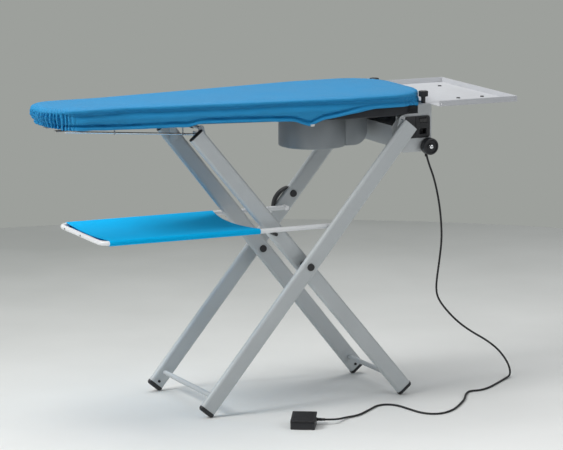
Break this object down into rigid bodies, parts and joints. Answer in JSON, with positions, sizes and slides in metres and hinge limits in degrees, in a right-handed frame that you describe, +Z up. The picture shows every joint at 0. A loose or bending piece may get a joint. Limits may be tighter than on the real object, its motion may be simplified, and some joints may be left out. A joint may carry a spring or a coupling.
{
  "type": "ironing table",
  "caption": "Folding vacuum ironing table with a padded heated board, scissor legs, a laundry shelf, an iron tray and a foot pedal on a cord.",
  "frame": {"origin": "on the floor, under the middle of the whole length and width, without the cord and the pedal", "axes": "+X from the pointed end towards the iron tray, +Y from the side with the switch and the pedal to the other long side, +Z up"},
  "size_m": [1.5157, 0.6967, 0.908],
  "materials": {
    "cover_cloth": "smooth blue cotton",
    "shelf_cloth": "smooth blue cloth",
    "felt": "soft felt",
    "pan_paint": "satin anthracite",
    "drum_paint": "satin silver grey",
    "housing_paint": "satin light grey",
    "leg_paint": "silver powder coat",
    "tray_paint": "pale powder coat",
    "bare_steel": "bare steel",
    "chrome": "bright plating",
    "black_plastic": "fine matte",
    "black_gloss": "glossy",
    "black_rubber": "smooth rubber"
  },
  "bodies": {
    "board": {"cover": "cover_cloth", "felt_pad": "felt", "work_plate": "bare_steel", "heating_element": "bare_steel", "board_pan": "pan_paint", "suction_drum": "drum_paint", "air_duct": "drum_paint", "fan_motor": "bare_steel", "slide_rails": "bare_steel", "side_plate_near": "housing_paint", "side_plate_far": "housing_paint", "electrical_box": "housing_paint", "box_lid": "housing_paint", "rear_panel": "housing_paint", "rear_screws": "chrome", "mains_inlet": "black_plastic", "control_panel": "black_plastic", "iron_socket": "black_plastic", "switch_body": "black_plastic", "hinge_bolts": "chrome", "hinge_bushes": "bare_steel", "wheel_axles": "chrome", "clamp_studs": "chrome", "rod_guides": "black_plastic", "cord_gland": "black_rubber", "pedal_cord": "black_rubber", "pedal_relief": "black_rubber", "pedal_base": "black_plastic"},
    "fan": {"fan_impeller": "black_plastic"},
    "switch": {"power_switch": "black_gloss"},
    "wheel_near": {"wheel_near": "black_plastic"},
    "wheel_far": {"wheel_far": "black_plastic"},
    "tray": {"iron_tray": "tray_paint", "tray_studs": "black_rubber"},
    "knob_near": {"clamp_knob_near": "black_plastic"},
    "knob_far": {"clamp_knob_far": "black_plastic"},
    "release": {"release_rod": "black_plastic"},
    "treadle": {"pedal_treadle": "black_plastic"},
    "outer_legs": {"outer_leg_near": "leg_paint", "outer_leg_far": "leg_paint", "outer_leg_lugs": "leg_paint", "end_plugs_outer": "black_plastic", "foot_screws_outer": "black_plastic", "outer_cross_tube": "leg_paint", "pivot_bolts": "chrome", "pivot_caps": "black_plastic", "pivot_bushes": "black_plastic", "leg_grip": "black_plastic", "grip_cap": "black_plastic", "shelf_screws": "chrome"},
    "inner_legs": {"inner_leg_near": "leg_paint", "inner_leg_far": "leg_paint", "inner_leg_lugs": "leg_paint", "end_plugs_inner": "black_plastic", "foot_screws_inner": "black_plastic", "inner_cross_tube": "leg_paint", "slide_shoes": "black_plastic", "shelf_rest_pins": "black_plastic"},
    "shelf": {"shelf_frame": "leg_paint", "shelf_fabric": "shelf_cloth"}
  },
  "joints": [
    {"name": "fold_outer_legs", "type": "hinge", "parent": "board", "child": "outer_legs", "pos_m": [0.368, 0, 0.83], "axis": [0, 1, 0], "range_deg": [0, 43], "deforming": ["shelf_fabric"]},
    {"name": "fold_inner_legs", "type": "hinge", "parent": "outer_legs", "child": "inner_legs", "pos_m": [0.063, 0, 0.41644], "axis": [0, 1, 0], "range_deg": [-86, 0]},
    {"name": "fold_shelf", "type": "hinge", "parent": "outer_legs", "child": "shelf", "pos_m": [0.15523, 0, 0.52832], "axis": [0, 1, 0], "range_deg": [-43, 0]},
    {"name": "fan_spin", "type": "hinge", "parent": "board", "child": "fan", "pos_m": [0.163, 0, 0.805], "axis": [0, 0, 1], "continuous": true},
    {"name": "switch_rock", "type": "hinge", "parent": "board", "child": "switch", "pos_m": [0.445, -0.1615, 0.818], "axis": [1, 0, 0], "range_deg": [-10, 0]},
    {"name": "wheel_near_spin", "type": "hinge", "parent": "board", "child": "wheel_near", "pos_m": [0.461, -0.175, 0.742], "axis": [0, 1, 0], "continuous": true},
    {"name": "wheel_far_spin", "type": "hinge", "parent": "board", "child": "wheel_far", "pos_m": [0.461, 0.175, 0.742], "axis": [0, 1, 0], "continuous": true},
    {"name": "tray_slide", "type": "slide", "parent": "board", "child": "tray", "axis": [1, 0, 0], "range_m": [0, 0.012]},
    {"name": "knob_near_turn", "type": "hinge", "parent": "board", "child": "knob_near", "pos_m": [0.447, -0.16, 0.889], "axis": [0, 0, 1], "continuous": true},
    {"name": "knob_far_turn", "type": "hinge", "parent": "board", "child": "knob_far", "pos_m": [0.447, 0.16, 0.889], "axis": [0, 0, 1], "continuous": true},
    {"name": "release_pull", "type": "slide", "parent": "board", "child": "release", "axis": [-0.997, 0, 0.0774], "range_m": [0, 0.012], "stiffness_N_per_m": 400},
    {"name": "treadle_press", "type": "hinge", "parent": "board", "child": "treadle", "pos_m": [-0.0785, -0.44224, 0.0203], "axis": [0.866, -0.5, 0], "range_deg": [-4, 0], "stiffness_Nm_per_rad": 6}
  ],
  "couplings": [
    {"joint": "fold_inner_legs", "follows": "fold_outer_legs", "ratio": -2},
    {"joint": "fold_shelf", "follows": "fold_outer_legs", "ratio": -1}
  ]
}
